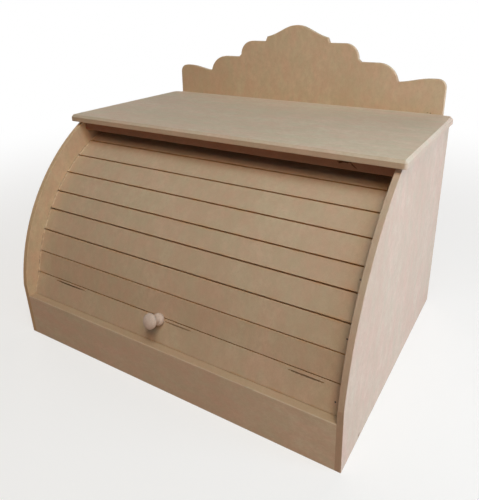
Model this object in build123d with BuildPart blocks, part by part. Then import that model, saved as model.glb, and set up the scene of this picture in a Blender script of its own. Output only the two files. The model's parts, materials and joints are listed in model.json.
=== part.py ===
"""Roll-top bread box in raw fibreboard: a casing of flat boards and a shutter of slats on canvas.

Millimetres. +Z is up, the front faces -Y and +X is to the right of someone who looks at the front.
The origin is at the middle of the floor that the box covers. Depths are measured forward from the
rear face of the back panel, and heights up from the floor.
"""

import os
from math import acos, atan2, ceil, cos, degrees, hypot, radians, sin, sqrt

from build123d import *

# Casing
outer_width = 370.0
panel_thickness = 5.5
board_thickness = 9.0
knee_height = 61.4
front_lean = 2.4
front_board_height = 47.7
rail_height = 10.7
panel_arris = 0.5
board_arris = 1.0

# Track that the slats run in
shutter_radius = 189.7
track_centre_depth = 92.0
track_centre_height = 32.2
track_depth = 3.0
track_clearance = 0.3
track_end_wall = 1.5
head_room = 2.2

# Curved front edge of the side panels, as an arc outside the track's own
front_margin = 24.8
front_centre_back = 10.2
front_centre_up = 5.1

# Shutter
slat_pitch = 24.0
narrow_slat_pitch = 21.05
narrow_slat = 4
knob_slat_width = 24.65
slat_thickness = 3.0
slat_gap = 1.3
second_gap = 1.0
lowest_gap = 0.7
slat_end_gap = 0.5
knob_slat_side_gap = 0.6
slat_arris = 0.35
landing_forward = 1.3
landing_clearance = 0.15
canvas_thickness = 0.6
canvas_side_margin = 4.0
canvas_end_margin = 2.0

# Stray saw kerfs across the knob slat: from one x to another, and how far below its top edge
saw_marks = [(-149.0, -106.0, 2.4), (2.0, 32.0, 2.7), (131.0, 162.0, 3.4)]
saw_mark_width = 0.8
saw_mark_depth = 0.9

# Top board
top_thickness = 7.5
top_side_overhang = 5.0
top_front_overhang = 11.2
top_rear_corner = 8.0
top_front_corner = 3.0
top_bevel = 2.4
top_lower_arris = 0.6

# Crest of the back panel: runs from its middle outwards, and heights above the top board
crest_peak_run = 40.2
crest_peak_height = 91.6
crest_peak_foot = 77.8
crest_step_run = 2.5
crest_shoulder_run = 19.0
crest_shoulder_height = 72.0
crest_shoulder_radius = 17.0
crest_notch_run = 3.5
crest_wave_run = 20.0
crest_wave_height = 51.8
crest_wave_radius = 24.0
crest_wave_turn = 76.0
crest_dip_run = 1.2
crest_dip_height = 32.1
crest_ear_height = 37.6
crest_ear_flat = 4.5
crest_ear_radius = 9.5
crest_end_inset = 1.8
crest_arris = 0.6

# Turned knob and its screw
knob_offset = -4.0
knob_drop = 1.9
knob_length = 19.5
knob_foot_radius = 6.0
knob_foot_height = 2.8
knob_foot_hollow = 0.5
knob_foot_seat = 5.1
knob_foot_length = 5.6
knob_waist_radius = 3.6
knob_waist_height = 8.2
knob_neck_radius = 4.2
knob_head_radius = 7.5
knob_head_height = 15.2
screw_radius = 1.2
screw_bite = 10.4
screw_head_radius = 2.6
screw_head_height = 1.8
screw_slot_width = 0.8
screw_slot_depth = 0.9
screw_clearance = 0.03

# Brads, headless and filled over, and the tacks in the slats' right ends
brad_radius = 0.8
brad_length = 15.0
brad_cover = 1.0
brad_clearance = 0.03
brad_count_in_row = 3
top_brad_inset = 26.0
back_brad_spacing = 96.0
rail_brad_spacing = 90.0
tack_radius = 0.8
tack_clearance = 0.03
tack_sink = 0.5
tack_inset = 5.5
tacked_slats = [2, 4]
knob_slat_tack_inset = 6.0
knob_slat_tack_rise = 10.0

# Sizes that follow
inner_width = outer_width - 2 * panel_thickness
casing_height = track_centre_height + shutter_radius + head_room
top_height = casing_height + top_thickness
track_centre = Vector(track_centre_depth, track_centre_height)
front_centre = track_centre + Vector(-front_centre_back, front_centre_up)
front_radius = shutter_radius + front_margin


def front_arc(height):
    """The (depth, height) point of the curved front edge at a height."""
    rise = height - front_centre.Y
    return Vector(front_centre.X + sqrt(front_radius**2 - rise**2), height)


knee = front_arc(knee_height)
top_corner = front_arc(casing_height)
toe = Vector(knee.X - front_lean, 0)


def straight_front(height):
    """The (depth, height) point of the leaning front edge below the knee."""
    return toe + (knee - toe) * (height / knee_height)


def on_track(angle):
    """The (depth, height) point of the shutter's circle at an angle above the forward level."""
    return track_centre + Vector(cos(radians(angle)), sin(radians(angle))) * shutter_radius


def track_angle(point):
    """The angle above the forward level at which the track's centre sees a point."""
    return degrees(atan2(point.Y - track_centre.Y, point.X - track_centre.X))


def chord_middle(pitch):
    """How far from the track's centre the middle of a slat of this pitch lies."""
    return sqrt(shutter_radius**2 - (pitch / 2) ** 2)


def pitch_angle(pitch):
    """The angle of the track that a slat of this pitch takes."""
    return 2 * degrees(atan2(pitch / 2, chord_middle(pitch)))


# The knob slat lands on the rear of the front board's top edge. Its own top edge is the lowest joint.
landing = straight_front(front_board_height) + Vector(landing_forward - board_thickness, landing_clearance)
landing_reach = (landing - track_centre).length
landing_cosine = (shutter_radius**2 + landing_reach**2 - knob_slat_width**2) / (
    2 * shutter_radius * landing_reach
)
lowest_joint = track_angle(landing) + degrees(acos(landing_cosine))

# There are enough slats for the curtain's top edge to lie behind the rail.
covered_angle = degrees(acos((top_corner.X - board_thickness - track_centre.X) / shutter_radius))
narrowing = pitch_angle(slat_pitch) - pitch_angle(narrow_slat_pitch)
slat_count = ceil((covered_angle - lowest_joint + narrowing) / pitch_angle(slat_pitch))
slat_pitches = [
    narrow_slat_pitch if number == narrow_slat else slat_pitch for number in range(1, slat_count + 1)
]
joint_angles = [lowest_joint]
for pitch in slat_pitches:
    joint_angles.append(joint_angles[-1] + pitch_angle(pitch))
joints = [landing] + [on_track(angle) for angle in joint_angles]
joint_gaps = [0, lowest_gap, second_gap] + [slat_gap] * (slat_count - 1)

# The knob stands square on its slat, and its head is an ellipse turned about its axis.
knob_rise = (joints[1] - landing).normalized()
knob_out = Vector(knob_rise.Y, -knob_rise.X)
knob_foot = joints[1] - knob_rise * knob_drop
knob_head = knob_foot + knob_out * knob_head_height
knob_head_half = knob_length - knob_head_height
knob_reach = knob_head.X + hypot(knob_head_half * knob_out.X, knob_head_radius * knob_rise.X)
overall_depth = max(knee.X, knob_reach)
rear_y = overall_depth / 2

# The track stops short of the back panel.
track_outside = shutter_radius + track_clearance
track_inside = chord_middle(slat_pitch) - slat_thickness - track_clearance
track_width = track_outside - track_inside
track_radius = (track_outside + track_inside) / 2
track_end_depth = panel_thickness + track_end_wall + track_width / 2
track_end = degrees(acos((track_end_depth - track_centre.X) / track_radius))

# The shutter opens until the top slat is at the track's end, or the knob is just short of the rail.
rail_arris = Vector(top_corner.X, casing_height - rail_height)
knob_rim = knob_head + knob_rise * knob_head_radius
rail_stop = track_angle(rail_arris) - track_angle(knob_rim) - degrees(track_clearance / shutter_radius)
travel = min(track_end - joint_angles[-1], rail_stop)


def at(point):
    """The (y, z) place of a (depth, height) point."""
    return (rear_y - point.X, point.Y)


def outwards(point, start, end):
    """A plane on the chord from start to end: x runs across the box, y up the chord, z outwards."""
    along = (end - start).normalized()
    return Plane(origin=(0, *at(point)), x_dir=(1, 0, 0), z_dir=(0, -along.Y, -along.X))


def set_in(points, inset):
    """A chain of (depth, height) points moved square to itself, into the box."""
    runs = [(end - start).normalized() for start, end in zip(points, points[1:])]
    inward = [Vector(-run.Y, run.X) for run in runs]
    moved = [points[0] + inward[0] * inset]
    for point, below, above in zip(points[1:], inward, inward[1:]):
        moved.append(point + (below + above) * (inset / (1 + below.dot(above))))
    moved.append(points[-1] + inward[-1] * inset)
    return moved


def evenly(length, count):
    """The middles of equal shares of a length."""
    return [length * (index + 0.5) / count for index in range(count)]


os.makedirs("parts", exist_ok=True)


def save(part, name):
    """Name a finished piece and write its STEP file."""
    part.label = name
    export_step(part, f"parts/{name}.step")


# Brads: one set through each side panel, one through the top board, one through the back panel
side_brad_spots = (
    [Vector(depth, board_thickness / 2) for depth in evenly(toe.X, brad_count_in_row)]
    + [Vector(panel_thickness / 2, height) for height in evenly(casing_height, brad_count_in_row)]
    + [
        straight_front(height) - Vector(board_thickness / 2, 0)
        for height in evenly(front_board_height, 2)
    ]
    + [Vector(top_corner.X - board_thickness / 2, casing_height - rail_height / 2)]
)
top_brad_spots = [
    (side * (outer_width - panel_thickness) / 2, rear_y - depth)
    for side in (-1, 1)
    for depth in (top_brad_inset, top_corner.X - top_brad_inset)
] + [
    (step * rail_brad_spacing, rear_y - top_corner.X + board_thickness / 2) for step in (-1, 0, 1)
]
back_brad_spots = [
    (step * back_brad_spacing, height)
    for step in (-1.5, -0.5, 0.5, 1.5)
    for height in (board_thickness / 2, casing_height + top_thickness / 2)
]
side_brad_plane = Plane.YZ.offset(outer_width / 2 - brad_cover - brad_length)
top_brad_plane = Plane.XY.offset(top_height - brad_cover - brad_length)
back_brad_plane = Plane.XZ.offset(-rear_y)


def pins(plane, spots, radius):
    """Round pins of a brad's length that stand on a plane."""
    with BuildPart() as row:
        with BuildSketch(plane):
            with Locations(*spots):
                Circle(radius)
        extrude(amount=brad_length)
    return row.part


side_brads = pins(side_brad_plane, [at(spot) for spot in side_brad_spots], brad_radius)
top_brads = pins(top_brad_plane, top_brad_spots, brad_radius)
back_brads = pins(back_brad_plane, back_brad_spots, brad_radius)
bore_radius = brad_radius + brad_clearance
side_bores = pins(side_brad_plane, [at(spot) for spot in side_brad_spots], bore_radius)
top_bores = pins(top_brad_plane, top_brad_spots, bore_radius)
back_bores = pins(back_brad_plane, back_brad_spots, bore_radius)
save(side_brads, "side_brads_right")
save(mirror(side_brads, about=Plane.YZ), "side_brads_left")
save(top_brads, "top_brads")
save(back_brads, "back_brads")

# Side panels, each with the track in its inner face
with BuildPart() as side_panel:
    with BuildSketch(Plane.YZ.offset(inner_width / 2)):
        with BuildLine():
            Polyline(at(Vector(0, casing_height)), at(Vector(0, 0)), at(toe), at(knee))
            RadiusArc(at(knee), at(top_corner), front_radius)
            Line(at(top_corner), at(Vector(0, casing_height)))
        make_face()
    extrude(amount=panel_thickness)
    outer_face = side_panel.faces().sort_by(Axis.X)[-1]
    inner_face = side_panel.faces().sort_by(Axis.X)[0]
    fillet(outer_face.edges() + inner_face.edges().filter_by(GeomType.CIRCLE), panel_arris)
    with BuildSketch(Plane.YZ.offset(inner_width / 2)):
        with BuildLine(mode=Mode.PRIVATE) as track:
            CenterArc(at(track_centre), track_radius, 180 - track_end, track_end - lowest_joint)
        SlotArc(track.edge(), track_width)
    extrude(amount=track_depth, mode=Mode.SUBTRACT)
    add(side_bores, mode=Mode.SUBTRACT)
    add(top_bores, mode=Mode.SUBTRACT)
save(side_panel.part, "side_panel_right")
save(mirror(side_panel.part, about=Plane.YZ), "side_panel_left")

# Back panel, one board up to the crest, whose outline is drawn for its right half and mirrored
shoulder_start = crest_peak_run + crest_step_run
shoulder_end = shoulder_start + crest_shoulder_run
wave_start = shoulder_end + crest_shoulder_radius + crest_notch_run
wave_end = wave_start + crest_wave_run
wave_close = radians(90 - crest_wave_turn)
wave_foot = wave_end + crest_wave_radius * cos(wave_close)
dip = wave_foot + crest_dip_run
crest_end = inner_width / 2 - crest_end_inset
ear_end = crest_end - crest_ear_radius
ear_start = ear_end - crest_ear_flat
ear_run = ear_start - dip
ear_rise = crest_ear_height - crest_dip_height
wave_drop = crest_wave_radius * (1 - sin(wave_close))


def crest(half_width, height):
    """The (x, z) place of a point of the crest."""
    return (half_width, top_height + height)


with BuildPart() as back_panel:
    with BuildSketch(Plane.XZ.offset(-rear_y)):
        with BuildLine():
            Bezier(
                crest(0, crest_peak_height),
                crest(0.37 * crest_peak_run, crest_peak_height),
                crest(0.54 * crest_peak_run, 0.3 * crest_peak_height + 0.7 * crest_peak_foot),
                crest(crest_peak_run, crest_peak_foot),
            )
            Polyline(
                crest(crest_peak_run, crest_peak_foot),
                crest(shoulder_start, crest_shoulder_height),
                crest(shoulder_end, crest_shoulder_height),
            )
            shoulder = CenterArc(
                crest(shoulder_end, crest_shoulder_height - crest_shoulder_radius),
                crest_shoulder_radius,
                90,
                -90,
            )
            Polyline(
                shoulder @ 1,
                crest(wave_start, crest_wave_height),
                crest(wave_end, crest_wave_height),
            )
            wave = CenterArc(
                crest(wave_end, crest_wave_height - crest_wave_radius),
                crest_wave_radius,
                90,
                -crest_wave_turn,
            )
            Line(wave @ 1, crest(dip, crest_dip_height))
            Bezier(
                crest(dip, crest_dip_height),
                crest(dip + 0.36 * ear_run, crest_dip_height + 0.18 * ear_rise),
                crest(dip + 0.6 * ear_run, crest_ear_height),
                crest(ear_start, crest_ear_height),
            )
            Line(crest(ear_start, crest_ear_height), crest(ear_end, crest_ear_height))
            ear = CenterArc(
                crest(ear_end, crest_ear_height - crest_ear_radius), crest_ear_radius, 90, -90
            )
            Polyline(
                ear @ 1,
                (crest_end, casing_height),
                (inner_width / 2, casing_height),
                (inner_width / 2, 0),
                (0, 0),
                crest(0, crest_peak_height),
            )
        make_face()
        mirror(about=Plane.YZ)
    extrude(amount=panel_thickness)
    crest_edges = back_panel.edges().filter_by(Axis.Y, reverse=True).filter_by_position(
        Axis.Z, top_height, top_height + crest_peak_height, inclusive=(False, True)
    )
    chamfer(crest_edges, crest_arris)
    add(side_bores, mode=Mode.SUBTRACT)
    add(mirror(side_bores, about=Plane.YZ), mode=Mode.SUBTRACT)
    add(back_bores, mode=Mode.SUBTRACT)
save(back_panel.part, "back_panel")

# Top board. Its rear edge stays square where the crest stands against it.
top_front_y = rear_y - top_corner.X - top_front_overhang
top_rear_y = rear_y - panel_thickness
top_middle_y = (top_front_y + top_rear_y) / 2
with BuildPart() as top_board:
    with BuildSketch(Plane.XY.offset(casing_height)) as outline:
        with Locations((0, top_middle_y)):
            Rectangle(outer_width + 2 * top_side_overhang, top_rear_y - top_front_y)
        fillet(outline.vertices().group_by(Axis.Y)[-1], top_rear_corner)
        fillet(outline.vertices().group_by(Axis.Y)[0], top_front_corner)
    extrude(amount=top_thickness)
    chamfer(top_board.faces().sort_by(Axis.Z)[-1].edges(), top_bevel)
    fillet(top_board.faces().sort_by(Axis.Z)[0].edges(), top_lower_arris)
    with BuildSketch(Plane.XY.offset(casing_height)):
        with Locations((0, top_rear_y)):
            Rectangle(2 * crest_end, top_bevel, align=(Align.CENTER, Align.MAX))
    extrude(amount=top_thickness)
    add(top_bores, mode=Mode.SUBTRACT)
    add(back_bores, mode=Mode.SUBTRACT)
save(top_board.part, "top_board")


def board_between_sides(corners):
    """A board as long as the box is wide inside, from the (depth, height) corners of its end."""
    with BuildPart() as board:
        with BuildSketch(Plane.YZ):
            with BuildLine():
                Polyline(*[at(corner) for corner in corners], close=True)
            make_face()
        extrude(amount=inner_width / 2, both=True)
    return board.part


front_top = straight_front(front_board_height)
board_back = Vector(board_thickness, 0)
with BuildPart() as front_board:
    add(board_between_sides([toe, front_top, front_top - board_back, toe - board_back]))
    top_edges = front_board.edges().filter_by(Axis.X).sort_by(Axis.Z)[-2:]
    fillet(top_edges.sort_by(Axis.Y)[0], board_arris)
    add(side_bores, mode=Mode.SUBTRACT)
    add(mirror(side_bores, about=Plane.YZ), mode=Mode.SUBTRACT)
save(front_board.part, "front_board")

rail_top_rear = top_corner - board_back
rail_bottom_rear = rail_arris - board_back
with BuildPart() as front_rail:
    add(board_between_sides([top_corner, rail_top_rear, rail_bottom_rear, rail_arris]))
    fillet(front_rail.edges().filter_by(Axis.X).group_by(Axis.Z)[0], board_arris)
    add(side_bores, mode=Mode.SUBTRACT)
    add(mirror(side_bores, about=Plane.YZ), mode=Mode.SUBTRACT)
    add(top_bores, mode=Mode.SUBTRACT)
save(front_rail.part, "front_rail")

floor_rear = Vector(panel_thickness, 0)
floor_front = toe - board_back
floor_up = Vector(0, board_thickness)
with BuildPart() as bottom_board:
    add(
        board_between_sides(
            [floor_rear, floor_front, floor_front + floor_up, floor_rear + floor_up]
        )
    )
    add(side_bores, mode=Mode.SUBTRACT)
    add(mirror(side_bores, about=Plane.YZ), mode=Mode.SUBTRACT)
    add(back_bores, mode=Mode.SUBTRACT)
save(bottom_board.part, "bottom_board")

# Shutter
knob_plane = outwards(knob_foot, landing, joints[1])
knob_plane.origin += Vector(knob_offset, 0, 0)
screw_bore = screw_radius + screw_clearance
tack_bore = tack_radius + tack_clearance


def slat(number, length, tacks):
    """A flat slat from its own joint to the next, with bores for the (x, rise) of its tacks."""
    start, end = joints[number], joints[number + 1]
    along = (end - start).normalized()
    face = [start + along * (joint_gaps[number] / 2), end - along * (joint_gaps[number + 1] / 2)]
    back = set_in(face, slat_thickness)
    if start == landing:
        back[0] = landing - Vector(slat_thickness / along.Y, 0)
    with BuildPart() as board:
        with BuildSketch(Plane.YZ):
            with BuildLine():
                Polyline(at(face[0]), at(face[1]), at(back[1]), at(back[0]), close=True)
            make_face()
        extrude(amount=length / 2, both=True)
        outer_edges = board.edges().filter_by(Axis.X).sort_by_distance((0, *at(track_centre)))[-2:]
        arrises = outer_edges.sort_by(Axis.Z)[-1:] if start == landing else outer_edges
        fillet(arrises, slat_arris)
        if tacks:
            with BuildSketch(outwards(start, start, end)):
                with Locations(*tacks):
                    Circle(tack_bore)
            extrude(amount=-slat_thickness, mode=Mode.SUBTRACT)
    return board.part


slat_length = inner_width + 2 * (track_depth - slat_end_gap)
tack_x = inner_width / 2 - tack_inset
tack_places = []
for number, pitch in enumerate(slat_pitches, start=1):
    tacks = [(tack_x, pitch / 2)] if number in tacked_slats else []
    save(slat(number, slat_length, tacks), f"slat_{number}")
    start, end = joints[number], joints[number + 1]
    tack_places += [(outwards(start, start, end), tack) for tack in tacks]

knob_slat_tack = (inner_width / 2 - knob_slat_tack_inset, knob_slat_tack_rise)
knob_slat_length = inner_width - 2 * knob_slat_side_gap
landing_plane = outwards(landing, landing, joints[1])
tack_places.append((landing_plane, knob_slat_tack))
with BuildPart() as knob_slat:
    add(slat(0, knob_slat_length, [knob_slat_tack]))
    with BuildSketch(landing_plane):
        for left, right, drop in saw_marks:
            with Locations(((left + right) / 2, knob_slat_width - drop)):
                SlotOverall(right - left, saw_mark_width)
    extrude(amount=-saw_mark_depth, mode=Mode.SUBTRACT)
    with BuildSketch(knob_plane):
        Circle(screw_bore)
    extrude(amount=-slat_thickness, mode=Mode.SUBTRACT)
save(knob_slat.part, "knob_slat")

with BuildPart() as slat_tacks:
    for plane, tack in tack_places:
        with BuildSketch(plane.offset(-slat_thickness)):
            with Locations(tack):
                Circle(tack_radius)
        extrude(amount=slat_thickness - tack_sink)
save(slat_tacks.part, "slat_tacks")

# Canvas glued behind the slats, one sheet that folds at each joint
first_run = (joints[1] - joints[0]).normalized()
last_run = (joints[-1] - joints[-2]).normalized()
canvas_line = [landing + first_run * canvas_end_margin] + joints[1:-1]
canvas_line.append(joints[-1] - last_run * canvas_end_margin)
canvas_front = set_in(canvas_line, slat_thickness)
canvas_rear = set_in(canvas_line, slat_thickness + canvas_thickness)
canvas_half = inner_width / 2 - canvas_side_margin
with BuildPart() as shutter_canvas:
    with BuildSketch(Plane.YZ):
        with BuildLine():
            Polyline(*[at(point) for point in canvas_front + canvas_rear[::-1]], close=True)
        make_face()
    extrude(amount=canvas_half, both=True)
    with BuildSketch(knob_plane.offset(-slat_thickness)):
        Circle(screw_bore)
    extrude(amount=-canvas_thickness, mode=Mode.SUBTRACT)
save(shutter_canvas.part, "shutter_canvas")

# Knob, turned about a line square to its slat. Its foot rises at the rim to clear the slat above.
knob_axis = Axis(knob_plane.origin, knob_plane.z_dir)
turning_plane = Plane(knob_plane.origin, x_dir=knob_plane.x_dir, z_dir=-knob_plane.y_dir)
neck_angle = degrees(acos(knob_neck_radius / knob_head_radius))
# The share of a quarter ellipse's half axes at which a Bezier curve of four points follows it
ellipse_pull = 0.5523


def on_head(angle):
    """The (radius, height) point of the knob's head at an angle of its ellipse."""
    turn = radians(angle)
    return (knob_head_radius * cos(turn), knob_head_height + knob_head_half * sin(turn))


with BuildPart() as knob:
    with BuildSketch(turning_plane):
        with BuildLine():
            seat = Polyline((screw_bore, 0), (knob_drop, 0), (knob_foot_seat, knob_foot_hollow))
            foot = ThreePointArc(
                seat @ 1,
                (knob_foot_radius, knob_foot_height),
                (knob_neck_radius, knob_foot_length),
            )
            neck = ThreePointArc(
                foot @ 1, (knob_waist_radius, knob_waist_height), on_head(-neck_angle)
            )
            under = ThreePointArc(
                neck @ 1, on_head(-neck_angle / 2), (knob_head_radius, knob_head_height)
            )
            crown = Bezier(
                under @ 1,
                (knob_head_radius, knob_head_height + ellipse_pull * knob_head_half),
                (ellipse_pull * knob_head_radius, knob_length),
                (0, knob_length),
            )
            Polyline(crown @ 1, (0, screw_bite), (screw_bore, screw_bite), (screw_bore, 0))
        make_face()
    revolve(axis=knob_axis)
save(knob.part, "knob")

screw_seat = knob_plane.offset(-slat_thickness - canvas_thickness)
with BuildPart() as knob_screw:
    with BuildSketch(screw_seat):
        Circle(screw_radius)
    extrude(amount=slat_thickness + canvas_thickness + screw_bite)
    with BuildSketch(screw_seat):
        Circle(screw_head_radius)
    extrude(amount=-screw_head_height)
    fillet(knob_screw.edges().filter_by(GeomType.CIRCLE).sort_by(Axis.Y)[-1], screw_head_height / 2)
    with BuildSketch(screw_seat.offset(-screw_head_height)):
        Rectangle(2 * screw_head_radius, screw_slot_width)
    extrude(amount=screw_slot_depth, mode=Mode.SUBTRACT)
save(knob_screw.part, "knob_screw")

print(f"slats {slat_count}, curtain from {lowest_joint:.2f} to {joint_angles[-1]:.2f} degrees")
print(f"shutter travel {travel:.2f} degrees, track ends at {track_end:.2f} degrees")
print(f"hinge axis at y {at(track_centre)[0]:.3f}, z {track_centre.Y:.3f}")
print(f"overall {outer_width + 2 * top_side_overhang:.2f} x {overall_depth:.2f} x", end=" ")
print(f"{top_height + crest_peak_height:.2f}")
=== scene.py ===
"""Looks of the roll-top bread box: raw fibreboard, a turned birch knob and a canvas-backed shutter."""

import json
from math import cos, pi, radians, sin

import bpy
from mathutils import Matrix, Vector, noise

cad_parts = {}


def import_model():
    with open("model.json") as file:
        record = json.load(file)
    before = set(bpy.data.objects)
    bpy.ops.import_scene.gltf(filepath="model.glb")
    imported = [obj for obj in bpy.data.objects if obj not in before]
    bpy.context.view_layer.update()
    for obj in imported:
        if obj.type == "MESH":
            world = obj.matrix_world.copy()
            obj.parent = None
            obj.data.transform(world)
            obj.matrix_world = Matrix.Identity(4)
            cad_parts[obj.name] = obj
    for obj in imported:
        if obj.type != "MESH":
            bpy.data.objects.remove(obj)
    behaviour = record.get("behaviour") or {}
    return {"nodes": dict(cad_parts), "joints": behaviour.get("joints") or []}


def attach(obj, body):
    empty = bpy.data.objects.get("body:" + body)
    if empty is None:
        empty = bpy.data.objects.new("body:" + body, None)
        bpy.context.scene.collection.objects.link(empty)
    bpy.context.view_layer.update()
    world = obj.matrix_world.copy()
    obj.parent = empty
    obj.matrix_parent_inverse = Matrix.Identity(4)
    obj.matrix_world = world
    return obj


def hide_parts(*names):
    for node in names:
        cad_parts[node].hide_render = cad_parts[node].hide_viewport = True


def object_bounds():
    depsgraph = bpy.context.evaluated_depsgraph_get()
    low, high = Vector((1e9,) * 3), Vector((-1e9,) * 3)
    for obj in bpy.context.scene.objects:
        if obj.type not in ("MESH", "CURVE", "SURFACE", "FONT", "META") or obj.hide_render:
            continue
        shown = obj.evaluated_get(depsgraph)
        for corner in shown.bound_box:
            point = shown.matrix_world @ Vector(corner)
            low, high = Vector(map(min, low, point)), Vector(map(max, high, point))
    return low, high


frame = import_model()
cad_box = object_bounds()
MM = 0.001
ACROSS, DEEP, UPRIGHT = Vector((1, 0, 0)), Vector((0, 1, 0)), Vector((0, 0, 1))
SLATS = sorted(name for name in frame["nodes"] if name.removeprefix("slat_").isdigit())

# Camera: its place, lens and sensor in millimetres, its turns in degrees, its shift as a share of the
# picture, and the nearest and farthest that it sees, in metres
CAMERA_PLACE = (278.9, -438.89, 346.8)
CAMERA_AZIMUTH = 31.746
CAMERA_ELEVATION = 19.915
CAMERA_ROLL = -0.732
CAMERA_LENS = 36.73
CAMERA_SENSOR = 36.0
CAMERA_SHIFT = (-0.0034, -0.1206)
CAMERA_CLIP = (0.05, 20.0)

# Surround: its colour, its strength near the horizon and straight up, and the height where it starts to
# rise, where straight up is 1. All colours in this script are linear
SKY_COLOUR = (0.95, 0.98, 1.0)
SKY_LOW = 0.0
SKY_HIGH = 0.02
SKY_START = 0.15

# Floor, in metres: half its side, how far it lies under the box, and how far out from the box's middle it
# starts to fade and is gone. Then how much it glows where the fade starts, its roughness, and its colour
# as the camera sees it and as it throws light back
FLOOR_HALF = 6.0
FLOOR_DROP = 0.0002
FLOOR_FADE = (0.3, 1.2)
FLOOR_GLOW = 0.62
FLOOR_ROUGHNESS = 0.9
FLOOR_PALE = (0.92, 0.92, 0.92)
FLOOR_BOUNCE = (0.40, 0.26, 0.18)

# Lamps, in degrees and metres: azimuth from -Y towards +X, elevation, distance and size; and their watts
# in red, green and blue
LAMPS = {
    "key_high": (36, 62, 1.6, 0.5, (6.0, 7.0, 6.7)),
    "key_low": (36, 44, 1.6, 0.5, (6.4, 3.8, 2.0)),
    "near": (64, 38, 0.8, 0.5, (0.9, 1.2, 1.3)),
    "window": (93, -2, 0.9, 0.25, (3.1, 3.7, 4.6)),
    "left": (-104, 12, 1.8, 1.0, (9.0, 8.4, 7.8)),
    "behind": (176, 10, 1.8, 1.0, (10.0, 9.4, 8.8)),
}

# Patterns, each a noise: how fast it runs along its way (under 1 draws it out and over 1 packs it), how
# far it is moved, its scale per metre, detail and roughness, and the noise where it starts and is full.
# Then the way that they are moved
PATTERNS = {
    "clouds": (0.22, 0.0, 16.0, 3.0, 0.50, 0.34, 0.66),
    "streaks": (0.40, 0.0, 60.0, 3.0, 0.55, 0.30, 0.70),
    "blotches": (0.60, 5.3, 80.0, 3.0, 0.60, 0.36, 0.64),
    "wide_hues": (0.50, 3.1, 36.0, 2.0, 0.55, 0.35, 0.65),
    "small_hues": (0.60, 5.3, 115.0, 2.0, 0.55, 0.34, 0.66),
    "mottle": (0.70, 0.0, 230.0, 4.0, 0.65, 0.36, 0.64),
    "fibres": (0.45, 0.0, 1300.0, 4.0, 0.70, 0.36, 0.64),
    "shives": (0.35, 0.0, 650.0, 4.0, 0.70, 0.66, 0.76),
    "threads": (2.20, 0.0, 480.0, 5.0, 0.70, 0.63, 0.75),
    "layers": (5.00, 0.0, 420.0, 4.0, 0.65, 0.35, 0.65),
    "scorch": (0.50, 2.3, 120.0, 5.0, 0.70, 0.45, 0.65),
    "highlight_breaks": (1.00, 0.0, 260.0, 3.0, 0.60, 0.40, 0.65),
    "mark_rim": (1.00, 0.0, 900.0, 2.0, 0.55, 0.30, 0.70),
    "birch_grain": (0.20, 0.0, 700.0, 4.0, 0.60, 0.40, 0.62),
    "birch_pores": (0.30, 0.7, 2300.0, 3.0, 0.60, 0.58, 0.72),
    "lathe_rings": (14.0, 1.3, 160.0, 2.0, 0.50, 0.35, 0.65),
    "drawing": (0.30, 0.0, 1500.0, 3.0, 0.60, 0.35, 0.65),
    "slubs": (1.00, 0.0, 90.0, 3.0, 0.60, 0.40, 0.70),
}
PATTERN_MOVE = (1.0, 1.7, -0.6)

# Fibreboard: its colours, the patterns that darken its ground and how far, those that tint it, and those
# that are loose fibres, how far and in what colour. Then its gloss, and its relief with what makes it up
MDF_PALE = (0.700, 0.562, 0.432)
MDF_DARK = (0.590, 0.452, 0.330)
PINK_TINT = (1.018, 0.985, 0.991)
GREEN_TINT = (0.984, 1.014, 1.007)
MDF_FIBRE = (0.72, 0.60, 0.47)
MDF_SHIVE = (0.36, 0.24, 0.15)
GROUND = {"clouds": 0.45, "streaks": 0.22, "blotches": 0.40, "mottle": 0.50}
HUES = ("wide_hues", "small_hues")
LOOSE_FIBRES = {"fibres": (0.12, MDF_SHIVE), "threads": (0.40, MDF_FIBRE), "shives": (0.30, MDF_SHIVE)}
MDF_ROUGHNESS = (0.72, 0.88)
MDF_SPECULAR = 0.25
MDF_RELIEF = 0.06 * MM
RELIEF_FIBRES = 0.6
RELIEF_MOTTLE = 0.5
RELIEF_LAYERS = 1.2

# Cut edges of fibreboard: how squarely a surface looks the way of the board's face, up to which it is
# wholly a cut edge and from which it is wholly the face; and how much of the core and its layers shows
EDGE_FACING = (0.45, 0.85)
MDF_CORE = (0.605, 0.465, 0.335)
CORE_SHARE = 0.3
CORE_LAYERS = 0.35

# Saw browning and painted shade in the kerfs, in millimetres: how far from a slat's long edges the browning
# starts and is full, and how deep in the kerfs both start and are full; and how strong it is beside the
# edges, in the kerfs (browning with painted shade) and on the cut edges
MDF_BURNT_AND_SHADE = (0.62, 0.37, 0.175)
BROWNED_BESIDE = (2.4, 0.2)
BROWNED_AND_SHADED_DEEP = (0.2, 0.7)
BESIDE_SHARE = 0.5
KERF_BROWN_AND_SHADE_SHARE = 0.8
EDGE_SHARE = 0.4

# Painted highlight on the slats' ends, where their arrises catch the light: how far from the ends, in
# millimetres, it starts and is full, and how strong it is where the pattern that breaks it up is least and
# most
MDF_END_HIGHLIGHT = (0.90, 0.78, 0.62)
END_HIGHLIGHT_REACH = (1.8, 0.6)
END_HIGHLIGHT_BREAKS = (0.1, 0.9)

# Painted light and shade on the boards that differ from the rest: a tone per board, in red, green and blue,
# of their faces and cut edges
PLAIN_TONE = ((1, 1, 1), (1, 1, 1))
LIGHT_AND_SHADE_TONES = {
    "back_panel": ((1.10, 1.04, 0.95), (1.10, 1.10, 1.05)),
    "front_board": ((1.25, 1.36, 1.51), (0.90, 0.85, 0.80)),
    "front_rail": ((0.66, 0.46, 0.42), (0.66, 0.46, 0.42)),
    "side_panel_left": ((1.25, 1.23, 1.17), (1.16, 1.10, 0.98)),
    "side_panel_right": ((1.03, 1.04, 1.09), (0.98, 0.98, 1.03)),
    "top_board": ((1.10, 1.19, 1.32), (1.06, 1.07, 1.12)),
}

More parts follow.
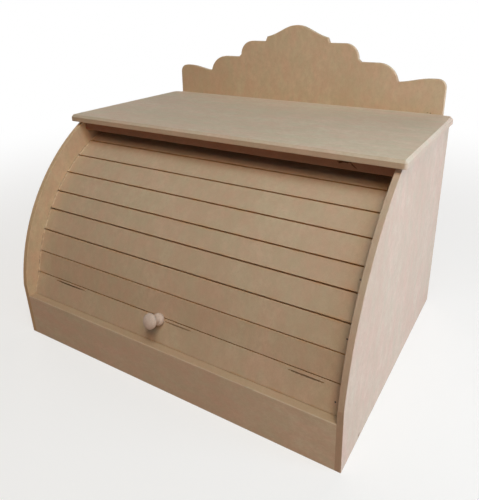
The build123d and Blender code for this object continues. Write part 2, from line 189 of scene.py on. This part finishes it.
# The way that each board's streaks run, how far its patterns are moved from those of the board before it,
# and how far the slats' patterns are moved
STREAKS = {
    "side_panel_left": UPRIGHT,
    "side_panel_right": UPRIGHT,
    "back_panel": UPRIGHT,
    "top_board": ACROSS,
    "bottom_board": DEEP,
    "front_board": ACROSS,
    "front_rail": ACROSS,
}
BOARD_MOVE = 0.37
SLAT_MOVE = 4.0

# Dark marks in the boards, in millimetres and degrees: middle, rise, half length and half width. Then their
# colour and how dark they are, how far their rim wanders, and where it starts and ends, as shares of them
MARKS = {
    "front_rail": [
        ((134.5, -38.5, 219.9), 2, 6.5, 0.9),
        ((131.6, -38.5, 219.2), 20, 2.2, 1.0),
        ((143.2, -38.5, 217.6), -37, 3.8, 0.65),
    ],
    "back_panel": [
        ((161.5, 143.2, 232.5), 10, 0.9, 0.35),
        ((164.8, 143.2, 232.3), -15, 0.8, 0.4),
    ],
    "side_panel_right": [((185.0, -103.3, 3.5), 8, 2.6, 0.8)],
}
MARK = (0.10, 0.048, 0.022)
MARK_DARKNESS = 0.85
MARK_WANDER = (0.75, 1.3)
MARK_RIM = (0.75, 1.1)

# Stray saw kerfs in the knob slat, in millimetres: from x to x, how far below its top edge and how dark;
# and the half width of their darkening, saw browning and painted shade along the grooves
STRAY_KERFS = [(-149, -106, 2.4, 0.8), (2, 32, 2.7, 0.45), (131, 162, 3.4, 0.6)]
STRAY_KERF_BURN_AND_SHADE = 0.75

# Birch: its colours, how far its grain and pores darken it, its gloss, its relief and the grain's share
BIRCH_PALE = (0.725, 0.605, 0.555)
BIRCH_DARK = (0.600, 0.475, 0.410)
BIRCH_GRAIN = 0.4
BIRCH_PORES = 0.35
BIRCH_ROUGHNESS = (0.48, 0.62)
BIRCH_SPECULAR = 0.35
BIRCH_RELIEF = 0.04 * MM
RELIEF_GRAIN = 0.5

# Metals: their colours and roughness, and how much darker and rougher their drawing marks are
WIRE = (0.12, 0.10, 0.09)
WIRE_ROUGHNESS = 0.45
ZINC = (0.62, 0.61, 0.60)
ZINC_ROUGHNESS = 0.35
DRAWN_SHADE = 0.7
DRAWN_ROUGHER = 0.15

# Cotton: its colours, the darker also painted shade at the threads' sides, how far its slubs darken it, and
# how softly a thread goes under the next
COTTON_PALE = (0.80, 0.60, 0.38)
COTTON_DARK_AND_SHADE = (0.62, 0.43, 0.25)
COTTON_SLUBS = 0.2
COTTON_CROSSING = 0.25
COTTON_ROUGHNESS = 0.92
COTTON_SPECULAR = 0.2
COTTON_SHEEN = 0.15
COTTON_RELIEF = 0.15 * MM

# Canvas: how far apart its threads and its mesh lines are, its give at the folds and between them,
# how far along it the folds' give reaches, and how much its cut edges wander
CLOTH_LAY = "cloth_lay"
CANVAS_THREAD = 0.8 * MM
CANVAS_COLUMN = 4.0 * MM
CANVAS_ROW = 1.2 * MM
CANVAS_FOLD_GIVE = 0.35 * MM
CANVAS_FOLD_REACH = 2.0 * MM
CANVAS_PUCKER = 0.12 * MM
CANVAS_WANDER = 0.3 * MM

# How far from the CAD canvas's end its corners may lie, and to how many places of a millimetre two of them
# that agree are one
CORNER_REACH = 0.1 * MM
CORNER_PLACES = 2

# How fine the canvas's puckers and the wander of its edges are, per metre across it and along it, and
# the height in the noise where each is taken
PUCKER_ACROSS, PUCKER_ALONG, PUCKER_LEVEL = 40, 60, 1.7
WANDER_ACROSS, WANDER_ALONG, WANDER_LEVEL = 50, 90, 0.3

# The sockets of a Mix node that colours use
MIX_SHARE, MIX_FIRST, MIX_SECOND, MIX_RESULT = 0, 6, 7, 2


class Nodes:
    """A short way to write a material's nodes."""

    def __init__(self, name):
        self.material = bpy.data.materials.new(name)
        self.material.use_nodes = True
        self.tree = self.material.node_tree
        self.shader = self.tree.nodes["Principled BSDF"]
        coordinates = self.tree.nodes.new("ShaderNodeTexCoord")
        self.place = coordinates.outputs["Object"]
        self.normal = coordinates.outputs["Normal"]

    def link(self, output, target):
        self.tree.links.new(output, target)

    def fill(self, socket, value):
        """Set a socket to a number, vector or colour, or link an output to it."""
        if isinstance(value, bpy.types.NodeSocket):
            self.link(value, socket)
        elif socket.type == "RGBA" and len(value) == 3:
            socket.default_value = (*value, 1.0)
        else:
            socket.default_value = value

    def shade(self, name, value):
        """Set an input of the shader, or link an output to it."""
        self.fill(self.shader.inputs[name], value)

    def math(self, operation, first, second=0.0):
        node = self.tree.nodes.new("ShaderNodeMath")
        node.operation = operation
        self.fill(node.inputs[0], first)
        self.fill(node.inputs[1], second)
        return node.outputs[0]

    def times(self, first, second):
        return self.math("MULTIPLY", first, second)

    def vector(self, operation, first, second=(0, 0, 0), result="Vector"):
        node = self.tree.nodes.new("ShaderNodeVectorMath")
        node.operation = operation
        self.fill(node.inputs[0], first)
        self.fill(node.inputs["Scale"] if operation == "SCALE" else node.inputs[1], second)
        return node.outputs[result]

    def along(self, direction, place=None):
        """How far a point lies along a direction."""
        return self.vector("DOT_PRODUCT", place or self.place, tuple(direction), "Value")

    def spread(self, value, low, high, to_low=0.0, to_high=1.0):
        """Map low..high onto to_low..to_high, smoothly and clamped."""
        node = self.tree.nodes.new("ShaderNodeMapRange")
        node.interpolation_type = "SMOOTHSTEP"
        for socket, number in zip(("From Min", "From Max", "To Min", "To Max"), (low, high, to_low, to_high)):
            node.inputs[socket].default_value = number
        self.link(value, node.inputs["Value"])
        return node.outputs["Result"]

    def drawn_out(self, direction, pace, shift):
        """The place, moved, and scaled along a direction: a texture on it is that way long or short."""
        part = self.times(self.along(direction), pace - 1.0)
        step = self.vector("SCALE", tuple(direction), part)
        move = tuple(shift * share for share in PATTERN_MOVE)
        return self.vector("ADD", self.vector("ADD", self.place, step), move)

    def pattern(self, name, direction=None, shift=0.0, ends=(0.0, 1.0)):
        """One of the patterns, from one end to the other, drawn out along a direction if it has one."""
        pace, moved, scale, detail, roughness, start, full = PATTERNS[name]
        texture = self.tree.nodes.new("ShaderNodeTexNoise")
        texture.inputs["Scale"].default_value = scale
        texture.inputs["Detail"].default_value = detail
        texture.inputs["Roughness"].default_value = roughness
        place = self.place if direction is None else self.drawn_out(direction, pace, moved + shift)
        self.link(place, texture.inputs["Vector"])
        return self.spread(texture.outputs["Fac"], start, full, *ends)

    def mix(self, share, first, second, blend="MIX"):
        node = self.tree.nodes.new("ShaderNodeMix")
        node.data_type = "RGBA"
        node.blend_type = blend
        self.fill(node.inputs[MIX_SHARE], share)
        self.fill(node.inputs[MIX_FIRST], first)
        self.fill(node.inputs[MIX_SECOND], second)
        return node.outputs[MIX_RESULT]

    def toned(self, colour, tone):
        return self.mix(1.0, colour, tone, "MULTIPLY")

    def stained(self, colour, stain, pattern, share):
        """A colour that goes a share of the way to the stain's where the pattern is full."""
        return self.mix(self.times(pattern, share), colour, stain)

    def bump(self, height, distance):
        node = self.tree.nodes.new("ShaderNodeBump")
        node.inputs["Distance"].default_value = distance
        self.link(height, node.inputs["Height"])
        self.shade("Normal", node.outputs["Normal"])

    def mark(self, face, middle, rise, half_length, half_width):
        """A soft, slightly ragged ellipse in a face: 1 inside it and 0 outside."""
        level = Vector([abs(part) for part in UPRIGHT.cross(face)]).normalized()
        way = level * cos(radians(rise)) + UPRIGHT * sin(radians(rise))
        offset = self.vector("SUBTRACT", self.place, tuple(Vector(middle) * MM))
        long_share = self.times(self.along(way, offset), 1 / (half_length * MM))
        wide_share = self.times(self.along(way.cross(face), offset), 1 / (half_width * MM))
        squares = [self.times(share, share) for share in (long_share, wide_share)]
        reach = self.math("SQRT", self.math("ADD", *squares))
        wander = self.pattern("mark_rim", ends=MARK_WANDER)
        return self.spread(self.times(reach, wander), *MARK_RIM, 1.0, 0.0)


def face_of(node):
    """The direction square to a board's faces, that of its largest triangle, to the front, right or top."""
    largest = max(frame["nodes"][node].data.polygons, key=lambda polygon: polygon.area)
    outward = 1 if largest.normal.dot(ACROSS - DEEP + UPRIGHT) > 0 else -1
    return largest.normal * outward


def reach_of(node, direction):
    """How far a node reaches along a direction, from the least to the most."""
    reaches = [vertex.co.dot(direction) for vertex in frame["nodes"][node].data.vertices]
    return min(reaches), max(reaches)


def saw_browning_and_kerf_shade(nodes, node, face, edge):
    """How browned a slat is by the saw, on its cut edges and in places beside them, and how dark its kerfs
    are painted: saw browning and painted shade.
    """
    across = face.cross(ACROSS)
    low, high = reach_of(node, across)
    from_middle = nodes.math("ABSOLUTE", nodes.math("SUBTRACT", nodes.along(across), (low + high) / 2))
    rim = nodes.spread(from_middle, *((high - low) / 2 - inset * MM for inset in BROWNED_BESIDE))
    beside = nodes.times(nodes.times(rim, nodes.pattern("scorch", ACROSS)), BESIDE_SHARE)
    front = reach_of(node, face)[1]
    # Darker with depth in the kerfs: saw browning and painted shade.
    kerf_browning_and_shade = nodes.spread(nodes.along(face), *(front - depth * MM for depth in BROWNED_AND_SHADED_DEEP), 0.0, KERF_BROWN_AND_SHADE_SHARE)
    return nodes.math("MAXIMUM", beside, nodes.math("MAXIMUM", kerf_browning_and_shade, nodes.times(edge, EDGE_SHARE)))


def end_highlight(nodes):
    """A painted highlight on the slats' ends where they meet the sides, which the knob slat's ends mark,
    broken up by a pattern.
    """
    half = reach_of("knob_slat", ACROSS)[1]
    from_middle = nodes.math("ABSOLUTE", nodes.along(ACROSS))
    highlighted = nodes.spread(from_middle, *(half - inset * MM for inset in END_HIGHLIGHT_REACH))
    return nodes.times(highlighted, nodes.pattern("highlight_breaks", ends=END_HIGHLIGHT_BREAKS))


def stray_kerf_burn_and_shade():
    """The stray kerfs' darkening, saw browning and painted shade along the grooves, in the form of the other
    marks and how dark each is.
    """
    upward = ACROSS.cross(face_of("knob_slat"))
    upward *= 1 if upward.z > 0 else -1
    top = reach_of("knob_slat", upward)[1] / MM
    marks = []
    for start, end, drop, darkness in STRAY_KERFS:
        middle = ACROSS * (start + end) / 2 + upward * (top - drop)
        marks.append((middle, 0, (end - start) / 2, STRAY_KERF_BURN_AND_SHADE, darkness))
    return marks


def board_patterns(nodes, streak, shift):
    """A board's patterns by name. Its threads and shives are moved the other way than the rest."""
    patterns = {name: nodes.pattern(name, streak, shift) for name in (*GROUND, *HUES, "fibres")}
    patterns.update({name: nodes.pattern(name, streak, -shift) for name in ("threads", "shives")})
    return patterns


def board_colour(nodes, patterns):
    """The colour of a board's face before its tone of painted light and shade."""
    colour = MDF_PALE
    for name, share in GROUND.items():
        colour = nodes.stained(colour, MDF_DARK, patterns[name], share)
    for name in HUES:
        colour = nodes.toned(colour, nodes.mix(patterns[name], PINK_TINT, GREEN_TINT))
    for name, (share, fibre) in LOOSE_FIBRES.items():
        colour = nodes.stained(colour, fibre, patterns[name], share)
    return colour


def fibreboard(node, streak, shift, sawn=False, marks=()):
    """Raw sanded fibreboard: soft streaks and blotches, pressed fibres, dark shives and a matt face.

    The cut edges show the looser core in layers, and each board takes a tone of painted light and shade.
    A sawn board is browned in places along its long edges, is browned and carries painted shade where
    the saw went into its face, and has a painted highlight where it meets the sides.
    """
    nodes = Nodes(f"fibreboard_{node}")
    face = face_of(node)
    patterns = board_patterns(nodes, streak, shift)
    layers = nodes.pattern("layers", face, shift)
    facing = nodes.math("ABSOLUTE", nodes.along(face, nodes.normal))
    edge = nodes.spread(facing, *EDGE_FACING, 1.0, 0.0)

    colour = board_colour(nodes, patterns)
    core = nodes.mix(CORE_SHARE, colour, nodes.stained(MDF_CORE, MDF_DARK, layers, CORE_LAYERS))
    # Each board's tone paints light and shade on its face and on its cut edges.
    face_light_tone, edge_light_tone = LIGHT_AND_SHADE_TONES.get(node, PLAIN_TONE)
    colour = nodes.mix(edge, nodes.toned(colour, face_light_tone), nodes.toned(core, edge_light_tone))
    if sawn:
        # Saw browning, with painted shade in the kerfs.
        colour = nodes.mix(saw_browning_and_kerf_shade(nodes, node, face, edge), colour, MDF_BURNT_AND_SHADE)
        # Painted highlight on the slats' ends.
        colour = nodes.mix(end_highlight(nodes), colour, MDF_END_HIGHLIGHT)
    for *outline, darkness in marks:
        colour = nodes.stained(colour, MARK, nodes.mark(face, *outline), darkness)

    nodes.shade("Base Color", colour)
    nodes.shade("Roughness", nodes.spread(patterns["fibres"], 0.0, 1.0, *MDF_ROUGHNESS))
    nodes.shade("Specular IOR Level", MDF_SPECULAR)
    fibres = nodes.times(patterns["fibres"], RELIEF_FIBRES)
    nap = nodes.math("ADD", fibres, nodes.times(patterns["mottle"], RELIEF_MOTTLE))
    rough_edge = nodes.times(nodes.times(edge, layers), RELIEF_LAYERS)
    nodes.bump(nodes.math("ADD", nap, rough_edge), MDF_RELIEF)
    return nodes.material


def turned_birch():
    """Pale close-grained wood with the faint rings of the lathe tool round the knob's axis."""
    nodes = Nodes("turned_birch")
    axis = face_of("knob_slat")
    grain = nodes.pattern("birch_grain", axis)
    colour = nodes.stained(BIRCH_PALE, BIRCH_DARK, grain, BIRCH_GRAIN)
    colour = nodes.stained(colour, BIRCH_DARK, nodes.pattern("birch_pores", axis), BIRCH_PORES)
    nodes.shade("Base Color", colour)
    nodes.shade("Roughness", nodes.spread(grain, 0.0, 1.0, *BIRCH_ROUGHNESS))
    nodes.shade("Specular IOR Level", BIRCH_SPECULAR)
    rings = nodes.pattern("lathe_rings", axis)
    nodes.bump(nodes.math("ADD", rings, nodes.times(grain, RELIEF_GRAIN)), BIRCH_RELIEF)
    return nodes.material


def metal(name, colour, roughness):
    """Wire or zinc plate with fine drawing marks."""
    nodes = Nodes(name)
    drawing = nodes.pattern("drawing", ACROSS)
    nodes.shade("Base Color", nodes.mix(drawing, colour, tuple(DRAWN_SHADE * part for part in colour)))
    nodes.shade("Roughness", nodes.spread(drawing, 0.0, 1.0, roughness, roughness + DRAWN_ROUGHER))
    nodes.shade("Metallic", 1.0)
    return nodes.material


def canvas_cloth():
    """Plain-woven unbleached cotton. Its threads follow the sheet's own width and length."""
    nodes = Nodes("canvas_cloth")
    lay = nodes.tree.nodes.new("ShaderNodeAttribute")
    lay.attribute_name = CLOTH_LAY
    nodes.place = lay.outputs["Vector"]
    threads = nodes.vector("SCALE", nodes.place, pi / CANVAS_THREAD)
    warp = nodes.math("SINE", nodes.along(ACROSS, threads))
    weft = nodes.math("SINE", nodes.along(DEEP, threads))
    over = nodes.spread(nodes.times(warp, weft), -COTTON_CROSSING, COTTON_CROSSING)
    under = nodes.math("SUBTRACT", 1.0, over)
    warp_round = nodes.times(nodes.math("ABSOLUTE", warp), over)
    weft_round = nodes.times(nodes.math("ABSOLUTE", weft), under)
    weave = nodes.math("ADD", warp_round, weft_round)
    # Painted shade: each thread darker at its sides and pale on its crown, by the weave's height.
    colour = nodes.mix(weave, COTTON_DARK_AND_SHADE, COTTON_PALE)
    nodes.shade("Base Color", nodes.stained(colour, COTTON_DARK_AND_SHADE, nodes.pattern("slubs"), COTTON_SLUBS))
    nodes.shade("Roughness", COTTON_ROUGHNESS)
    nodes.shade("Specular IOR Level", COTTON_SPECULAR)
    nodes.shade("Sheen Weight", COTTON_SHEEN)
    nodes.bump(weave, COTTON_RELIEF)
    return nodes.material


def canvas_folds():
    """The canvas's middle line at each fold, from the bottom up, and its way inwards there."""
    hinge = Vector((0, *frame["joints"][0]["pos_m"][1:]))
    end = reach_of("shutter_canvas", ACROSS)[1]
    corners = {}
    for vertex in frame["nodes"]["shutter_canvas"].data.vertices:
        if vertex.co.x > end - CORNER_REACH:
            corner = tuple(round(part / MM, CORNER_PLACES) for part in vertex.co)
            corners[corner] = Vector((0, *vertex.co[1:]))
    around = sorted(corners.values(), key=lambda point: (point - hinge).angle(-DEEP))
    folds = []
    for pair in zip(around[::2], around[1::2]):
        rear, front = sorted(pair, key=lambda point: (point - hinge).length)
        folds.append(((front + rear) / 2, rear - front))
    return folds


def canvas_rows(folds, reached):
    """The mesh's rows from the bottom up: their middle, their way inwards and how far along they lie."""
    rows = []
    for number, ((low, inward), (high, _)) in enumerate(zip(folds, folds[1:])):
        run = high - low
        steps = round(run.length / CANVAS_ROW)
        for step in range(min(number, 1), steps + 1):
            along = reached[number] + run.length * step / steps
            rows.append((low + run * step / steps, inward.normalized(), along))
    return rows


def canvas_mesh(rows, reached, half):
    """One layer of points in rows and columns, each with its place in the flat sheet."""
    columns = round(2 * half / CANVAS_COLUMN)
    points, lay = [], []
    for middle, inward, along in rows:
        to_fold = min(abs(along - fold) for fold in reached[1:-1])
        give = CANVAS_FOLD_GIVE * max(0.0, 1 - to_fold / CANVAS_FOLD_REACH)
        for column in range(columns + 1):
            x = half * (2 * column / columns - 1)
            lay.append((x, along, 0.0))
            bulge = noise.noise((x * PUCKER_ACROSS, along * PUCKER_ALONG, PUCKER_LEVEL))
            pucker = CANVAS_PUCKER * max(0.0, bulge)
            if column in (0, columns):
                fray = noise.noise((along * WANDER_ALONG, x * WANDER_ACROSS, WANDER_LEVEL))
                x *= 1 - CANVAS_WANDER / half * abs(fray)
            points.append(middle + inward * (give + pucker) + ACROSS * x)
    wide = columns + 1
    corners = [row * wide + column for row in range(len(rows) - 1) for column in range(columns)]
    mesh = bpy.data.meshes.new("canvas")
    mesh.from_pydata(points, [], [(first, first + 1, first + wide + 1, first + wide) for first in corners])
    stored = mesh.attributes.new(CLOTH_LAY, "FLOAT_VECTOR", "POINT")
    stored.data.foreach_set("vector", [part for place in lay for part in place])
    mesh.shade_smooth()
    return mesh


def canvas():
    """The cloth glued behind the slats, which gives a little inwards at each fold."""
    folds = canvas_folds()
    half = reach_of("shutter_canvas", ACROSS)[1]
    reached = [0.0]
    for (low, _), (high, _) in zip(folds, folds[1:]):
        reached.append(reached[-1] + (high - low).length)
    mesh = canvas_mesh(canvas_rows(folds, reached), reached, half)
    mesh.materials.append(canvas_cloth())
    made = bpy.data.objects.new("canvas", mesh)
    bpy.context.scene.collection.objects.link(made)
    solid = made.modifiers.new("thickness", "SOLIDIFY")
    solid.thickness = folds[0][1].length
    solid.offset = 0
    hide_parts("shutter_canvas")
    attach(made, "shutter")


def camera():
    """The camera at the photograph's place, turned by its azimuth, elevation and roll."""
    azimuth, elevation, roll = (radians(a) for a in (CAMERA_AZIMUTH, CAMERA_ELEVATION, CAMERA_ROLL))
    back = Vector((sin(azimuth) * cos(elevation), -cos(azimuth) * cos(elevation), sin(elevation)))
    level = Vector((cos(azimuth), sin(azimuth), 0))
    upright = back.cross(level)
    right = level * cos(roll) + upright * sin(roll)
    up = upright * cos(roll) - level * sin(roll)
    data = bpy.data.cameras.new("camera")
    data.lens = CAMERA_LENS
    data.sensor_width = CAMERA_SENSOR
    data.shift_x, data.shift_y = CAMERA_SHIFT
    data.clip_start, data.clip_end = CAMERA_CLIP
    made = bpy.data.objects.new("camera", data)
    turn = Matrix((right, up, back)).transposed().to_4x4()
    made.matrix_world = Matrix.Translation(Vector(CAMERA_PLACE) * MM) @ turn
    bpy.context.scene.collection.objects.link(made)
    bpy.context.scene.camera = made


def lamp(name, azimuth, elevation, distance, size, watts):
    """A soft square lamp aimed at the box's middle. Azimuth runs from -Y towards +X."""
    middle = (cad_box[0] + cad_box[1]) / 2
    a, e = radians(azimuth), radians(elevation)
    away = Vector((sin(a) * cos(e), -cos(a) * cos(e), sin(e)))
    data = bpy.data.lights.new(name, "AREA")
    data.shape = "SQUARE"
    data.size = size
    data.energy = max(watts)
    data.color = [part / max(watts) for part in watts]
    made = bpy.data.objects.new(name, data)
    made.location = middle + away * distance
    made.rotation_euler = away.to_track_quat("Z", "Y").to_euler()
    bpy.context.scene.collection.objects.link(made)


def sees_stage(tree):
    """1 for rays from the camera and for what glossy or clear things show of the stage, else 0."""
    path = tree.nodes.new("ShaderNodeLightPath")
    seen = path.outputs["Is Camera Ray"]
    for kind in ("Is Glossy Ray", "Is Transmission Ray"):
        either = tree.nodes.new("ShaderNodeMath")
        either.operation = "MAXIMUM"
        tree.links.new(seen, either.inputs[0])
        tree.links.new(path.outputs[kind], either.inputs[1])
        seen = either.outputs[0]
    return seen


def mix_shaders(tree, share, first, second, target):
    """Send a mix of two shaders, the second by a share, to a target."""
    mix = tree.nodes.new("ShaderNodeMixShader")
    for socket, output in zip(mix.inputs, (share, first, second)):
        tree.links.new(output, socket)
    tree.links.new(mix.outputs[0], target)


def world():
    """A dim surround, brighter overhead, that the camera sees as white."""
    made = bpy.data.worlds.new("surround")
    bpy.context.scene.world = made
    made.use_nodes = True
    tree = made.node_tree
    lighting = tree.nodes["Background"]
    lighting.inputs["Color"].default_value = (*SKY_COLOUR, 1)
    direction = tree.nodes.new("ShaderNodeTexCoord")
    height = tree.nodes.new("ShaderNodeSeparateXYZ")
    tree.links.new(direction.outputs["Generated"], height.inputs[0])
    strength = tree.nodes.new("ShaderNodeMapRange")
    strength.inputs["From Min"].default_value = SKY_START
    strength.inputs["To Min"].default_value = SKY_LOW
    strength.inputs["To Max"].default_value = SKY_HIGH
    tree.links.new(height.outputs["Z"], strength.inputs["Value"])
    tree.links.new(strength.outputs["Result"], lighting.inputs["Strength"])
    white = tree.nodes.new("ShaderNodeBackground")
    white.inputs["Color"].default_value = (1, 1, 1, 1)
    surface = tree.nodes["World Output"].inputs["Surface"]
    mix_shaders(tree, sees_stage(tree), lighting.outputs[0], white.outputs[0], surface)


def floor():
    """A plain pale floor that keeps the box's shadow and fades into the white surround."""
    mesh = bpy.data.meshes.new("floor")
    corners = [(x * FLOOR_HALF, y * FLOOR_HALF, 0) for x, y in ((-1, -1), (1, -1), (1, 1), (-1, 1))]
    mesh.from_pydata(corners, [], [(0, 1, 2, 3)])
    made = bpy.data.objects.new("floor", mesh)
    made.location.z = -FLOOR_DROP
    bpy.context.scene.collection.objects.link(made)
    nodes = Nodes("floor")
    seen = sees_stage(nodes.tree)
    nodes.shade("Base Color", nodes.mix(seen, FLOOR_BOUNCE, FLOOR_PALE))
    nodes.shade("Roughness", FLOOR_ROUGHNESS)
    distance = nodes.vector("LENGTH", nodes.place, result="Value")
    fade = nodes.spread(distance, *FLOOR_FADE, FLOOR_GLOW, 1.0)
    glow = nodes.tree.nodes.new("ShaderNodeEmission")
    surface = nodes.tree.nodes["Material Output"].inputs["Surface"]
    mix_shaders(nodes.tree, nodes.times(seen, fade), nodes.shader.outputs[0], glow.outputs[0], surface)
    mesh.materials.append(nodes.material)


def dress(node, material):
    """Give a CAD node one material."""
    mesh = frame["nodes"][node].data
    mesh.materials.clear()
    mesh.materials.append(material)


def dress_boards():
    """Every board has its own piece of fibreboard. The slats were sawn from one."""
    # The knob slat's marks are the stray kerfs' browning and painted shade.
    marks = {"knob_slat": stray_kerf_burn_and_shade()}
    for node, outlines in MARKS.items():
        marks[node] = [(*outline, MARK_DARKNESS) for outline in outlines]
    for number, (node, streak) in enumerate(STREAKS.items()):
        dress(node, fibreboard(node, streak, BOARD_MOVE * number, marks=marks.get(node, ())))
    for node in ["knob_slat", *SLATS]:
        dress(node, fibreboard(node, UPRIGHT, SLAT_MOVE, sawn=True, marks=marks.get(node, ())))


def dress_fittings():
    """The turned knob, its zinc-plated screw, and the wire of the tacks and brads."""
    dress("knob", turned_birch())
    dress("knob_screw", metal("zinc_screw", ZINC, ZINC_ROUGHNESS))
    wire = metal("bright_wire", WIRE, WIRE_ROUGHNESS)
    for node in ("slat_tacks", "side_brads_left", "side_brads_right", "top_brads", "back_brads"):
        dress(node, wire)


camera()
world()
floor()
for lamp_name, facts in LAMPS.items():
    lamp(lamp_name, *facts)
dress_boards()
dress_fittings()
canvas()

bpy.context.scene.view_settings.view_transform = "Standard"
